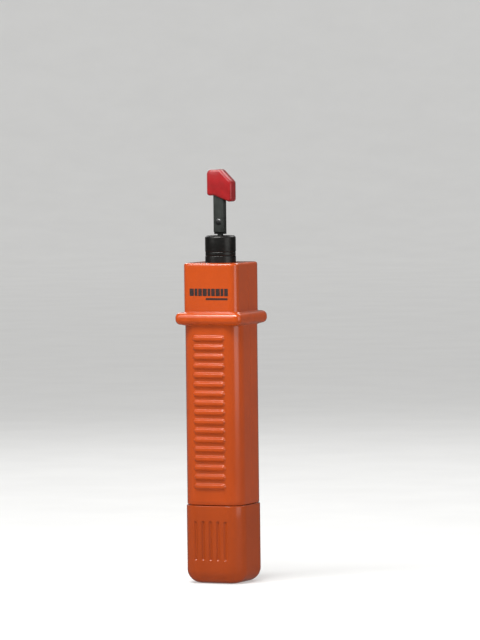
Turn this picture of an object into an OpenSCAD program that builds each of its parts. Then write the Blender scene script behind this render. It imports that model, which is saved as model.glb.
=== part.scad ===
// Impact punch down tool: a moulded handle in two halves around a spring-driven
// hammer, with a quarter-turn blade, a tip cover and a pull-off end cap.
// Z runs along the tool towards the blade, -Y is the ribbed front, +X is the
// right side, and the origin is the centre of the end cap's flat foot.

/* [Handle] */
// Width of the square handle across its flats
handle_w = 29.5; // [29:0.1:30]
// Corner radius of the handle
handle_r = 8; // [7:0.1:8.5]
// Wall thickness of both half shells
wall = 2.4; // [2.2:0.05:2.5]
// Width across the flats of the finger flange
flange_w = 34; // [33:0.5:36]
// Thickness of the finger flange
flange_t = 5.8; // [5:0.1:6]
// Width of the square nose above the flange
nose_w = 28; // [27.8:0.1:28.4]
// Corner radius of the nose
nose_r = 4; // [3.5:0.1:5]
// Number of grip ribs up the front and the back
rib_count = 17; // [9:1:17]
// Distance from one grip rib to the next
rib_pitch = 4.35; // [4:0.05:4.4]
// Length of a grip rib across the face
rib_len = 16; // [12:0.5:17]
// How far a grip rib stands out of the face
rib_proud = 0.9; // [0.5:0.1:1]

/* [End cap] */
// Width of the end cap across its flats
cap_w = 30.2; // [30:0.1:30.6]
// Height of the end cap
cap_h = 36.9; // [36:0.1:37]
// Rounding of the cap's lower edge
cap_foot_r = 6.5; // [5:0.1:7]
// Number of finger grooves on each face of the cap
groove_count = 5; // [3:1:5]
// Distance from one finger groove to the next
groove_pitch = 3.8; // [3.2:0.1:4]

/* [Mechanism] */
// Diameter of the spindle that shows above the nose
spindle_d = 14.5; // [14:0.1:14.6]
// Diameter of the hammer
hammer_d = 18; // [17.8:0.1:18]
// Length of the hammer
hammer_len = 26; // [24:0.5:28]
// How far the spindle plunges before the latch reaches its ramp
plunge = 9.5; // [8:0.5:9.5]
// Distance that the latch slides to line its hole up with the drive pin
latch_travel = 1.6; // [1.5:0.05:1.7]
// Throw of the dial's eccentric pin
dial_throw = 1.6; // [1.2:0.1:1.6]
// Outer diameter of the impact spring
impact_spring_d = 15.6; // [14:0.2:16]
// Wire diameter of the impact spring
impact_wire_d = 1.8; // [1.4:0.1:2]

/* [Blade] */
// Width of the blade
blade_w = 5.6; // [5:0.1:5.6]
// Thickness of the blade
blade_t = 2; // [1.8:0.1:2]
// Length of the blade from end to end
blade_len = 54; // [52:1:54]
// Width of the tip cover
tip_cap_w = 12.8; // [12:0.2:14]
// Height of the tip cover
tip_cap_h = 15.8; // [15.6:0.2:17]
// Thickness of the tip cover from front to back
tip_cap_t = 6.6; // [6.4:0.2:7]
// How far the tip cover's lower edge rises towards its left side
tip_cap_slant = 3; // [0:0.2:4]
// Height of the sloped corner at the tip cover's upper right
tip_cap_slope = 5.4; // [0:0.2:6]

/* [Hidden] */
$fn = 48;
eps = 0.01;
gap = 0.05;
clear = 0.3;

// heights along Z
neck_z = 26;
handle_z = cap_h + 0.3;
neck_top_z = 39.5;
flange_z = 122;
nose_z = flange_z + flange_t;
nose_top_z = 151;
spindle_top_z = 163.6;
tip_cap_z = 179;
tip_cap_shift = 0.8;
shelf_z = 61;
shelf_top_z = 63;
seat_top_z = 66;
hammer_top_z = 122;
hammer_z = hammer_top_z - hammer_len;
latch_z = 111;
latch_slot_h = 3;
barrel_top_z = 123.5;
barrel_lip_z = hammer_top_z + 0.1;
shoulder_z = 131;
shoulder_top_z = 134;
bushing_z = 135.5;
bushing_top_z = 148.5;
socket_z = 136;
dial_z = 139;
screw_low_z = 41.8;
screw_high_z = 131;
mouth_top_z = nose_top_z - wall;

// widths and radii
neck_w = 25.6;
neck_r = 6.05;
neck_in_w = 21.2;
neck_in_r = 3.85;
handle_in_w = handle_w - 2 * wall;
handle_in_r = handle_r - wall;
nose_in_w = nose_w - 2 * wall;
nose_in_r = nose_r - wall;
cap_r = handle_r + (cap_w - handle_w) / 2;
cap_in_w = neck_w + 0.4;
cap_in_r = neck_r + 0.2;
cap_floor_z = 2.4;
cap_in_foot_r = 4.4;
flange_r = 3;
flange_edge_r = 2.5;
nose_edge_r = 1.2;
spindle_r = spindle_d / 2;
shoulder_r = 8.3;
bore_r = spindle_r + 0.08;
hammer_r = hammer_d / 2;
barrel_in_r = hammer_r + 0.1;
barrel_r = barrel_in_r + 1.2;
barrel_lip_r = shoulder_r + 0.15;
bushing_r = 9.5;
bushing_ring_r = 10.2;
pin_r = 2.5;
socket_r = 3.1;
strip_y = 10.5;
strip_t = 1;
strip_w = 8;
strip_low_z = 94;
strip_top_z = 143.2;
ramp_top_z = latch_z - plunge - clear;
ramp_h = 3;
ramp_face_y = strip_y - latch_travel - 0.2;
dial_flange_r = 5.5;
dial_face_r = 4.4;
dial_pin_r = 1.2;
dial_pin_rise = dial_throw * sin(45);
screw_x_low = 7.6;
screw_x_high = 10.3;
screw_seat_y = 12.2;
screw_r = 1.1;
screw_head_r = 2.1;
screw_head_h = 1.4;
screw_end_y = -7;
lock_plate_z = 162;
ball_r = 1.5;
ball_z = 155;
blade_z = socket_z + 0.1;
blade_top_z = blade_z + blade_len;
spare_z = 4.4;
clip_w = 10;
clip_t = 6.4;
clip_top_z = 14;
rivet_z = 170;

// ---- shapes that repeat ----

module rounded_square(w, r) {
    square([w, w - 2 * r], center = true);
    square([w - 2 * r, w], center = true);
    for (sx = [-1, 1], sy = [-1, 1])
        translate([sx * (w / 2 - r), sy * (w / 2 - r)]) circle(r);
}

module square_bar(w, r, z0, z1) {
    translate([0, 0, z0]) linear_extrude(z1 - z0) rounded_square(w, r);
}

// side view of a bar whose lower and upper edges are rounded
module edge_outline(w, z0, z1, r_low, r_top) {
    translate([-w / 2, z0 + r_low]) square([w, z1 - z0 - r_low - r_top]);
    if (r_low > 0) {
        translate([r_low - w / 2, z0]) square([w - 2 * r_low, r_low + eps]);
        for (s = [-1, 1])
            translate([s * (w / 2 - r_low), z0 + r_low]) circle(r_low);
    }
    if (r_top > 0) {
        translate([r_top - w / 2, z1 - r_top - eps]) square([w - 2 * r_top, r_top + eps]);
        for (s = [-1, 1])
            translate([s * (w / 2 - r_top), z1 - r_top]) circle(r_top);
    }
}

// square bar with rounded corners and rounded lower and upper edges
module soft_bar(w, r, z0, z1, r_low, r_top) {
    intersection() {
        square_bar(w, r, z0, z1);
        rotate([90, 0, 0]) linear_extrude(w + 2, center = true)
            edge_outline(w, z0, z1, r_low, r_top);
        rotate([90, 0, 90]) linear_extrude(w + 2, center = true)
            edge_outline(w, z0, z1, r_low, r_top);
    }
}

module tube(r_out, r_in, z0, z1) {
    difference() {
        translate([0, 0, z0]) cylinder(h = z1 - z0, r = r_out);
        translate([0, 0, z0 - 1]) cylinder(h = z1 - z0 + 2, r = r_in);
    }
}

module cylinder_y(r, y0, y1) {
    translate([0, y0, 0]) rotate([-90, 0, 0]) cylinder(h = y1 - y0, r = r);
}

module box(x0, x1, y0, y1, z0, z1) {
    translate([x0, y0, z0]) cube([x1 - x0, y1 - y0, z1 - z0]);
}

// closed wire coil along Z, swept as one skin of rings
module coil(d, wire, z0, z1, turns, steps, sides) {
    radius = (d - wire) / 2;
    rise = z1 - z0 - wire;
    rings = turns * steps;
    points = [
        for (i = [0:rings], j = [0:sides - 1])
            let (a = 360 * i / steps, b = 360 * j / sides, ring_r = radius + wire / 2 * cos(b))
            [ring_r * cos(a), ring_r * sin(a), z0 + wire / 2 + rise * i / rings + wire / 2 * sin(b)]
    ];
    sides_faces = [
        for (i = [0:rings - 1], j = [0:sides - 1])
            let (a = i * sides + j, b = i * sides + (j + 1) % sides)
            [a, b, b + sides, a + sides]
    ];
    ends = [[for (j = [sides - 1:-1:0]) j], [for (j = [0:sides - 1]) rings * sides + j]];
    polyhedron(points = points, faces = concat(sides_faces, ends), convexity = 10);
}

// ---- handle shells ----

module grip_ribs(face_y) {
    ball = 1.25;
    first_z = 46.1;
    for (i = [0:rib_count - 1])
        translate([0, face_y, first_z + i * rib_pitch]) {
            rotate([0, 90, 0]) cylinder(h = rib_len - 2 * ball, r = ball, center = true, $fn = 24);
            for (s = [-1, 1])
                translate([s * (rib_len / 2 - ball), 0, 0]) sphere(ball, $fn = 24);
        }
}

module shell_outside() {
    square_bar(neck_w, neck_r, neck_z, handle_z + 1);
    square_bar(handle_w, handle_r, handle_z, flange_z + 1);
    soft_bar(flange_w, flange_r, flange_z, nose_z, flange_edge_r, flange_edge_r);
    soft_bar(nose_w, nose_r, nose_z - 1, nose_top_z, 0, nose_edge_r);
}

module shell_cavity() {
    square_bar(neck_in_w, neck_in_r, neck_z - 1, neck_top_z + 1);
    square_bar(handle_in_w, handle_in_r, neck_top_z, flange_z - 0.5);
    square_bar(nose_in_w, nose_in_r, flange_z - 1, mouth_top_z);
    translate([0, 0, mouth_top_z - 1]) cylinder(h = wall + 2, r = spindle_r + 0.4);
}

module plate_rib(w, r, z0, t) {
    square_bar(w + 1, r + 0.5, z0, z0 + t);
}

// floor of the mechanism and the saddles that hold the barrel and the bushing
module inner_ribs() {
    plate_rib(handle_in_w, handle_in_r, shelf_z, shelf_top_z - shelf_z);
    difference() {
        for (z = [68, 86, 108, 119]) plate_rib(handle_in_w, handle_in_r, z, 1.6);
        translate([0, 0, shelf_top_z]) cylinder(h = 60, r = barrel_r + gap);
    }
    difference() {
        for (z = [138, 145]) plate_rib(nose_in_w, nose_in_r, z, 1.6);
        translate([0, 0, bushing_z]) cylinder(h = 12, r = bushing_r + gap);
    }
}

module screw_places() {
    for (s = [-1, 1]) {
        translate([s * screw_x_low, 0, screw_low_z]) children(0);
        translate([s * screw_x_high, 0, screw_high_z]) children(1);
    }
}

module shell_body() {
    difference() {
        shell_outside();
        shell_cavity();
    }
    inner_ribs();
    screw_places() {
        cylinder_y(2.4, -handle_in_w / 2 - 0.5, handle_in_w / 2 + 0.5);
        cylinder_y(1.7, -nose_in_w / 2 - 0.5, nose_in_w / 2 + 0.5);
    }
}

module front_shell() {
    color("#d9622b") {
        difference() {
            intersection() {
                shell_body();
                box(-20, 20, -20, 0, 0, 160);
            }
            screw_places() {
                cylinder_y(screw_r + 0.02, screw_end_y - 0.5, 1);
                cylinder_y(screw_r + 0.02, screw_end_y - 0.5, 1);
            }
        }
        intersection() {
            grip_ribs(-handle_w / 2 + 1.25 - rib_proud);
            box(-20, 20, -20, -handle_w / 2 + 0.5, 0, 160);
        }
    }
}

module back_shell() {
    color("#d9622b") {
        difference() {
            intersection() {
                shell_body();
                box(-20, 20, 0, 20, 0, 160);
            }
            screw_places() {
                cylinder_y(screw_r + 0.2, -1, 20);
                cylinder_y(screw_r + 0.2, -1, 20);
            }
            screw_places() {
                cylinder_y(screw_head_r + 0.2, screw_seat_y, 20);
                cylinder_y(screw_head_r + 0.2, screw_seat_y, 20);
            }
            // way for the trip slide through the saddles
            box(-strip_w / 2 - 0.25, strip_w / 2 + 0.25, 9, nose_in_w / 2, 90, mouth_top_z);
            // stepped seat of the impact dial
            translate([0, 0, dial_z]) {
                cylinder_y(dial_face_r + 0.1, 11, 20);
                cylinder_y(dial_flange_r + 0.1, 11, nose_w / 2 - 1.1);
            }
        }
        intersection() {
            grip_ribs(handle_w / 2 - 1.25 + rib_proud);
            box(-20, 20, handle_w / 2 - 0.5, 20, 0, 160);
        }
    }
}

module shell_screw() {
    difference() {
        union() {
            cylinder_y(screw_r, screw_end_y, screw_seat_y + eps);
            cylinder_y(screw_head_r, screw_seat_y, screw_seat_y + screw_head_h);
        }
        for (a = [0, 90])
            rotate([0, a, 0])
                box(-1.4, 1.4, screw_seat_y + 0.6, screw_seat_y + 3, -0.3, 0.3);
    }
}

module shell_screws() {
    color("#8a8c90") screw_places() {
        shell_screw();
        shell_screw();
    }
}

// ---- fixed parts inside the handle ----

module nose_bushing() {
    color("#3a3a3c") difference() {
        union() {
            translate([0, 0, bushing_z]) cylinder(h = bushing_top_z - bushing_z, r = bushing_r);
            translate([0, 0, 139.65]) cylinder(h = 5.3, r = bushing_ring_r);
        }
        translate([0, 0, bushing_z - 1]) cylinder(h = 20, r = bore_r);
    }
}

module buffer_washer() {
    color("#1e1e1e") tube(9.3, spindle_r + 0.25, shoulder_top_z + 0.15, bushing_z);
}

module barrel() {
    color("#b9bcc0") difference() {
        translate([0, 0, shelf_top_z])
            cylinder(h = barrel_top_z - shelf_top_z, r = barrel_r);
        translate([0, 0, shelf_top_z - 1])
            cylinder(h = barrel_lip_z - shelf_top_z + 1, r = barrel_in_r);
        translate([0, 0, shelf_top_z]) cylinder(h = 70, r = barrel_lip_r);
        box(-3.1, 3.1, 5, 15, 91, 115);
    }
}

module spring_seat() {
    color("#5a5d61") {
        translate([0, 0, shelf_top_z])
            cylinder(h = seat_top_z - shelf_top_z, r = barrel_in_r - gap);
        translate([0, 0, seat_top_z - eps]) cylinder(h = 5, r = 5.4);
    }
}

module impact_spring() {
    color("#9a9da1")
        coil(impact_spring_d, impact_wire_d, seat_top_z + gap, hammer_z - gap, 7, 18, 8);
}

module dial_washer() {
    color("#c8cacd") translate([0, 0, dial_z]) difference() {
        cylinder_y(dial_flange_r - 0.1, 12.68, 12.88);
        cylinder_y(dial_face_r + 0.1, 12, 14);
    }
}

// ---- hammer, latch and trip ----

module hammer() {
    color("#77797d") difference() {
        translate([0, 0, hammer_z]) cylinder(h = hammer_len, r = hammer_r);
        translate([0, 0, hammer_top_z - 5]) cylinder(h = 6, r = 5);
        translate([0, 0, 102]) cylinder(h = 30, r = pin_r + 0.2);
        box(-4.6, 4.6, -7.9, 15, latch_z, latch_z + latch_slot_h);
        box(-3.3, 3.3, 8.45, 15, hammer_z - 1, latch_z + latch_slot_h);
    }
}

module latch_plate() {
    hole_y = latch_travel;
    color("#c9b27a") difference() {
        union() {
            box(-4.5, 4.5, -6, 6.5, latch_z + gap, latch_z + latch_slot_h - gap);
            box(-2.8, 2.8, 6, strip_y - 0.2, latch_z + gap, latch_z + latch_slot_h - gap);
        }
        translate([0, hole_y, latch_z - 1]) cylinder(h = 6, r = pin_r + 0.2);
        translate([0, 0, latch_z + latch_slot_h / 2]) cylinder_y(1, -7, -2.3);
    }
}

module latch_spring() {
    color("#9a9da1") translate([0, 0, latch_z + latch_slot_h / 2]) rotate([-90, 0, 0])
        coil(1.8, 0.35, -7.85, -4.1, 6, 10, 6);
}

module trip_slide() {
    slot_z = dial_z + dial_pin_rise;
    color("#b9bcc0") {
        difference() {
            box(-strip_w / 2, strip_w / 2, strip_y, strip_y + strip_t, strip_low_z, strip_top_z);
            box(-0.4, 3.1, strip_y - 1, strip_y + 2, slot_z - dial_pin_r - 0.1,
                slot_z + dial_pin_r + 0.1);
        }
        translate([-2.8, 0, 0]) rotate([90, 0, 90]) linear_extrude(5.6)
            polygon([
                [strip_y + eps, ramp_top_z], [ramp_face_y, ramp_top_z - ramp_h],
                [ramp_face_y, ramp_top_z - ramp_h - 2], [strip_y + eps, strip_low_z]
            ]);
    }
}

module impact_dial() {
    color("#2a2a2c") translate([0, 0, dial_z]) difference() {
        union() {
            cylinder_y(dial_flange_r, 11.75, 12.65);
            cylinder_y(dial_face_r, 12, nose_w / 2 + 0.5);
            translate([dial_pin_rise, 0, dial_pin_rise]) cylinder_y(dial_pin_r, 10.4, 12);
        }
        rotate([0, -45, 0]) box(-3.4, 3.4, nose_w / 2 - 0.4, 20, -0.6, 0.6);
    }
}

// ---- spindle and blade lock ----

module spindle() {
    top = spindle_top_z;
    edge = 0.6;
    color("#262628") difference() {
        rotate_extrude() polygon([
            [0, shoulder_z], [shoulder_r, shoulder_z], [shoulder_r, shoulder_top_z],
            [spindle_r, shoulder_top_z], [spindle_r, ball_z - 1], [6.3, ball_z - 1],
            [6.3, ball_z + 1], [spindle_r, ball_z + 1], [spindle_r, top - edge],
            [spindle_r - edge, top], [0, top]
        ]);
        translate([0, 0, shoulder_z - 1]) cylinder(h = 4.5, r = pin_r + 0.02);
        translate([0, 0, socket_z]) cylinder(h = 40, r = socket_r);
        translate([0, 0, lock_plate_z]) cylinder(h = 5, r = 5);
        translate([0, 0, ball_z]) rotate([0, 90, 0]) cylinder(h = 10, r = ball_r + gap);
    }
}

module drive_pin() {
    color("#a3a5a9") translate([0, 0, latch_z + latch_slot_h + 0.2])
        cylinder(h = shoulder_z + 3.4 - latch_z - latch_slot_h - 0.2, r = pin_r);
}

module return_spring() {
    color("#9a9da1") coil(9, 0.9, hammer_top_z - 5 + gap, shoulder_z - gap, 5, 16, 8);
}

module lock_plate() {
    color("#4a4c50") difference() {
        translate([0, 0, lock_plate_z + gap]) cylinder(h = 1.35, r = 4.95);
        box(-1.15, 1.15, -blade_w / 2 - 0.25, blade_w / 2 + 0.25, 160, 170);
        translate([0, 0, 160]) cylinder(h = 10, r = 1.65);
    }
}

module lock_ball() {
    color("#d0d2d5") translate([socket_r + 0.1 + ball_r, 0, ball_z]) sphere(ball_r);
}

module lock_ring() {
    color("#3c3d40") difference() {
        tube(7.15, 6.35, ball_z - 0.9, ball_z + 0.9);
        box(-9, -5, -0.6, 0.6, 150, 165);
    }
}

// ---- blades ----

// double-ended strip with a lock waist near each working end
module blade_strip(z0, fork_w) {
    waist_w = 2.2;
    waist_at = lock_plate_z - 0.1 - blade_z;
    waist_h = 1.65;
    difference() {
        box(-blade_w / 2, blade_w / 2, -blade_t / 2, blade_t / 2, z0, z0 + blade_len);
        for (z = [z0 + waist_at, z0 + blade_len - waist_at - waist_h], s = [-1, 1])
            translate([s * (waist_w / 2 + 5), 0, z + waist_h / 2])
                cube([10, 10, waist_h], center = true);
        for (z = [z0, z0 + blade_len])
            translate([0.6, 0, z]) cube([fork_w, 10, 7], center = true);
    }
}

module blade() {
    color("#4b4f52") difference() {
        blade_strip(blade_z, 1.1);
        translate([0, 0, rivet_z]) cylinder_y(0.95, -3, 3);
    }
}

module blade_cutter() {
    face = -blade_t / 2 - gap;
    color("#6a6e70") difference() {
        translate([0, face, 0]) rotate([90, 0, 0]) linear_extrude(0.95) polygon([
            [-2.6, 165.2], [2.6, 165.2], [2.6, 187], [-2.6, blade_top_z]
        ]);
        translate([0, 0, rivet_z]) cylinder_y(0.95, -3, 3);
    }
}

module blade_rivet() {
    color("#8c8f92") translate([0, 0, rivet_z]) {
        cylinder_y(0.9, -2.3, 1.3);
        cylinder_y(1.5, -2.4, -2.05);
        cylinder_y(1.5, blade_t / 2 + gap, 1.4);
    }
}

// soft cover with a slanted lower edge and one sloped upper corner, wider on
// the side of the cutting edge
module tip_cap() {
    left = tip_cap_shift - tip_cap_w / 2;
    right = tip_cap_shift + tip_cap_w / 2;
    top = tip_cap_z + tip_cap_h;
    low_r = 1.4;
    top_r = 2.2;
    color("#c8201f") difference() {
        intersection() {
            rotate([90, 0, 0]) linear_extrude(tip_cap_t, center = true) hull() {
                translate([left + low_r, tip_cap_z + tip_cap_slant + low_r]) circle(low_r);
                translate([right - low_r, tip_cap_z + low_r]) circle(low_r);
                translate([left + top_r, top - top_r]) circle(top_r);
                translate([tip_cap_shift + 0.5, top - top_r]) circle(top_r);
                translate([right - top_r, top - tip_cap_slope - top_r]) circle(top_r);
            }
            rotate([90, 0, 90]) linear_extrude(2 * tip_cap_w, center = true)
                upright_outline(tip_cap_t, tip_cap_z, top, 2.8);
        }
        box(-blade_w / 2 - 0.15, blade_w / 2 + 0.15, -2.55, blade_t / 2 + 0.55,
            tip_cap_z - 1, blade_top_z + 0.4);
    }
}

// upright rectangle with four rounded corners
module upright_outline(w, z0, z1, r) {
    translate([-w / 2, z0 + r]) square([w, z1 - z0 - 2 * r]);
    translate([r - w / 2, z0]) square([w - 2 * r, z1 - z0]);
    for (s = [-1, 1], z = [z0 + r, z1 - r])
        translate([s * (w / 2 - r), z]) circle(r);
}

// ---- end cap ----

module finger_grooves(face_y) {
    low_z = 10.9;
    high_z = 29.9;
    r = 1.1;
    for (i = [0:groove_count - 1]) {
        x = (i - (groove_count - 1) / 2) * groove_pitch;
        translate([x, face_y, low_z + r]) {
            cylinder(h = high_z - low_z - 2 * r, r = r, $fn = 24);
            sphere(r, $fn = 24);
            translate([0, 0, high_z - low_z - 2 * r]) sphere(r, $fn = 24);
        }
    }
}

module end_cap() {
    color("#cf5c28") difference() {
        soft_bar(cap_w, cap_r, 0, cap_h, cap_foot_r, 0.4);
        soft_bar(cap_in_w, cap_in_r, cap_floor_z, cap_h + 5, cap_in_foot_r, 0);
        finger_grooves(-cap_w / 2 - 0.45);
        finger_grooves(cap_w / 2 + 0.45);
    }
}

module blade_clip() {
    color("#e8e6e0") difference() {
        box(-clip_w / 2, clip_w / 2, -clip_t / 2, clip_t / 2, cap_floor_z, clip_top_z);
        box(-blade_w / 2 - gap, blade_w / 2 + gap, -blade_t / 2 - gap, blade_t / 2 + gap,
            spare_z - gap, clip_top_z + 1);
    }
}

module spare_blade() {
    color("#5b5f62") blade_strip(spare_z, 0.8);
}

front_shell();
back_shell();
shell_screws();
nose_bushing();
buffer_washer();
barrel();
spring_seat();
impact_spring();
hammer();
latch_plate();
latch_spring();
trip_slide();
impact_dial();
dial_washer();
spindle();
drive_pin();
return_spring();
lock_plate();
lock_ball();
lock_ring();
blade();
blade_cutter();
blade_rivet();
tip_cap();
end_cap();
blade_clip();
spare_blade();
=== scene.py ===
"""Looks of an impact punch down tool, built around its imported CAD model.

All sizes below are millimetres; MM turns them into Blender's metres.
The tool stands on the foot of its end cap, +Z runs towards the blade and -Y is
the ribbed front.
"""

import math

import bmesh
import bpy
import numpy as np
from mathutils import Matrix, Vector


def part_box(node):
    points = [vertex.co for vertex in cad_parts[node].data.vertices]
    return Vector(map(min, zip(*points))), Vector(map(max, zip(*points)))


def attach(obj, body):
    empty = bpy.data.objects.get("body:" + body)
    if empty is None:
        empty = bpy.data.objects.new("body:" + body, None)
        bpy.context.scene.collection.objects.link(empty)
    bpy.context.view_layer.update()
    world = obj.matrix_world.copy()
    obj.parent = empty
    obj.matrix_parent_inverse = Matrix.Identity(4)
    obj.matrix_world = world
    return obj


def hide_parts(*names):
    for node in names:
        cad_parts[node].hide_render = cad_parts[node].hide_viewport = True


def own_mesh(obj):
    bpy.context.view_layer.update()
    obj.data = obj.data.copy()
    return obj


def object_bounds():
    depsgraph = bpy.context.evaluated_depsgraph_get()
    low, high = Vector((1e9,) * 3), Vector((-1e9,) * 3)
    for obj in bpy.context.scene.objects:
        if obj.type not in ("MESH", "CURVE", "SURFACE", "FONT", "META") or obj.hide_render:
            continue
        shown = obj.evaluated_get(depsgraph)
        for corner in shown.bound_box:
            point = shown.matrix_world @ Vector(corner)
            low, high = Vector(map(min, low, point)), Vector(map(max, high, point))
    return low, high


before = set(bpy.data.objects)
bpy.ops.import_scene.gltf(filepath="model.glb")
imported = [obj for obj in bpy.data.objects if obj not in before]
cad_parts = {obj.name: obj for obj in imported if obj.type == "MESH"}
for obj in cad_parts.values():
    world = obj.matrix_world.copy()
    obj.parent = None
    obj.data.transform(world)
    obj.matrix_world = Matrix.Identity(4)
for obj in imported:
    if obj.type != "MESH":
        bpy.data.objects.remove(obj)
CAD_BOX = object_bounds()

MM = 0.001
SHARP_ANGLE = math.radians(38)
WELD = 0.0005 * MM


def node_box(node):
    """Lowest and highest corner of a CAD node, in millimetres."""
    low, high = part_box(node)
    return np.array(low) / MM, np.array(high) / MM


# ---- sizes read from the frame ----

SHELL_LOW, SHELL_HIGH = node_box("front_shell")
CAP_LOW, CAP_HIGH = node_box("end_cap")
SPINDLE_LOW, SPINDLE_HIGH = node_box("spindle")
BLADE_LOW, BLADE_HIGH = node_box("blade")
CUTTER_LOW, CUTTER_HIGH = node_box("blade_cutter")
RIVET_LOW, RIVET_HIGH = node_box("blade_rivet")
TIP_LOW, TIP_HIGH = node_box("tip_cap")
DIAL_LOW, DIAL_HIGH = node_box("impact_dial")
SCREWS_LOW, SCREWS_HIGH = node_box("shell_screws")
RING_LOW, RING_HIGH = node_box("lock_ring")

# ---- sizes of the moulded handle ----

NECK_W, NECK_R = 25.6, 6.05
NECK_IN_W, NECK_IN_R = 21.2, 3.85
HANDLE_W, HANDLE_R = 29.5, 8.0
HANDLE_IN_W, HANDLE_IN_R = 24.7, 5.6
HANDLE_Z = CAP_HIGH[2] + 0.3
FLANGE_W, FLANGE_R = SHELL_HIGH[0] - SHELL_LOW[0], 3.0
FLANGE_Z, FLANGE_TOP_Z = 122.0, 127.8
FLANGE_EDGE_R = 2.5
NOSE_W, NOSE_R = 28.0, 4.0
NOSE_IN_W, NOSE_IN_R = 23.2, 1.6
NOSE_TOP_Z = SHELL_HIGH[2]
NOSE_EDGE_R = 1.2
WALL = 2.4
MOUTH_R = 7.65
SEAM = 0.02
RIB_COUNT, RIB_PITCH, RIB_FIRST_Z = 17, 4.35, 46.1
RIB_HALF_LEN, RIB_PROUD = 6.75, 0.88
RIB_REACH = 1.55
RIB_CREST = 0.34
SHELF_Z, SHELF_TOP_Z = 61.0, 63.0

# ---- mesh tools ----


def add_object(name, verts, faces, smooth=True):
    """A new mesh object from vertices in millimetres."""
    mesh = bpy.data.meshes.new(name)
    mesh.from_pydata([tuple(float(c) * MM for c in v) for v in verts], [], faces)
    bm = bmesh.new()
    bm.from_mesh(mesh)
    bmesh.ops.remove_doubles(bm, verts=bm.verts, dist=1e-7)
    bmesh.ops.recalc_face_normals(bm, faces=bm.faces)
    bm.to_mesh(mesh)
    bm.free()
    ob = bpy.data.objects.new(name, mesh)
    bpy.context.scene.collection.objects.link(ob)
    if smooth:
        shade(ob)
    return ob


def shade(ob, angle=SHARP_ANGLE):
    ob.data.polygons.foreach_set("use_smooth", [True] * len(ob.data.polygons))
    ob.data.set_sharp_from_angle(angle=angle)
    ob.data.update()


def loft(rings, cap_start=True, cap_end=True):
    """Vertices and faces of a skin over rings that hold the same number of points."""
    count = len(rings[0])
    verts = [p for ring in rings for p in ring]
    faces = []
    for i in range(len(rings) - 1):
        a, b = i * count, (i + 1) * count
        for j in range(count):
            k = (j + 1) % count
            faces.append((a + j, a + k, b + k, b + j))
    if cap_start:
        faces.append(tuple(range(count - 1, -1, -1)))
    if cap_end:
        last = (len(rings) - 1) * count
        faces.append(tuple(range(last, last + count)))
    return verts, faces


def lathe(name, profile, steps=96, axis="z", centre=(0, 0, 0), closed=False):
    """A turned solid: profile is a list of (radius, height) from pole to pole, or a closed loop."""
    rings = []
    for radius, height in profile:
        ring = []
        for i in range(steps):
            a = 2 * math.pi * i / steps
            u, v = radius * math.cos(a), radius * math.sin(a)
            point = (u, v, height) if axis == "z" else (u, height, v)
            ring.append(tuple(point[n] + centre[n] for n in range(3)))
        rings.append(ring)
    if closed:
        rings.append(rings[0])
    verts, faces = loft(rings, not closed, not closed)
    return add_object(name, verts, faces)


def round_profile(points, radius, steps=5):
    """Rounds each inner corner of an open (radius, height) outline."""
    out = [points[0]]
    for before, here, after in zip(points, points[1:], points[2:]):
        b, h, a = (np.array(p, float) for p in (before, here, after))
        to_b, to_a = b - h, a - h
        len_b, len_a = np.linalg.norm(to_b), np.linalg.norm(to_a)
        cut = min(radius, 0.45 * len_b, 0.45 * len_a)
        start, end = h + to_b / len_b * cut, h + to_a / len_a * cut
        for i in range(steps + 1):
            t = i / steps
            p = (1 - t) ** 2 * start + 2 * t * (1 - t) * h + t * t * end
            out.append(tuple(p))
    out.append(points[-1])
    return out


def join(name, parts):
    """One object from several, under the given name."""
    bm = bmesh.new()
    for ob in parts:
        bm.from_mesh(ob.data)
    mesh = bpy.data.meshes.new(name)
    bm.to_mesh(mesh)
    bm.free()
    for ob in parts:
        bpy.data.objects.remove(ob)
    ob = bpy.data.objects.new(name, mesh)
    bpy.context.scene.collection.objects.link(ob)
    shade(ob)
    return ob


def boolean(ob, cutter, operation):
    """Applies one boolean and removes the cutter."""
    mod = ob.modifiers.new("cut", "BOOLEAN")
    mod.operation = operation
    mod.solver = "MANIFOLD"
    mod.object = cutter
    graph = bpy.context.evaluated_depsgraph_get()
    mesh = bpy.data.meshes.new_from_object(ob.evaluated_get(graph))
    ob.modifiers.clear()
    old = ob.data
    ob.data = mesh
    mesh.name = old.name
    bpy.data.objects.remove(cutter)
    shade(ob)
    return ob


def weld(ob):
    """Merges the near-duplicate points that booleans leave, so no face has zero area."""
    bm = bmesh.new()
    bm.from_mesh(ob.data)
    bmesh.ops.remove_doubles(bm, verts=bm.verts, dist=WELD)
    bmesh.ops.dissolve_degenerate(bm, edges=bm.edges, dist=WELD)
    bm.to_mesh(ob.data)
    bm.free()
    shade(ob)


def bevelled_prism(name, outline, y0, y1, bevel, segments=3):
    """A flat part: an XZ outline between two Y planes, with all its edges rounded."""
    bm = bmesh.new()
    front = [bm.verts.new((x * MM, y0 * MM, z * MM)) for x, z in outline]
    back = [bm.verts.new((x * MM, y1 * MM, z * MM)) for x, z in outline]
    count = len(outline)
    bm.faces.new(front)
    bm.faces.new(back[::-1])
    for i in range(count):
        j = (i + 1) % count
        bm.faces.new((front[i], back[i], back[j], front[j]))
    bmesh.ops.recalc_face_normals(bm, faces=bm.faces)
    edges = [e for e in bm.edges if e.calc_face_angle(0) > math.radians(20)]
    bmesh.ops.bevel(
        bm, geom=edges, offset=bevel * MM, segments=segments, profile=0.5, affect="EDGES",
        clamp_overlap=True,
    )
    mesh = bpy.data.meshes.new(name)
    bm.to_mesh(mesh)
    bm.free()
    ob = bpy.data.objects.new(name, mesh)
    bpy.context.scene.collection.objects.link(ob)
    shade(ob, math.radians(50))
    return ob


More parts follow.
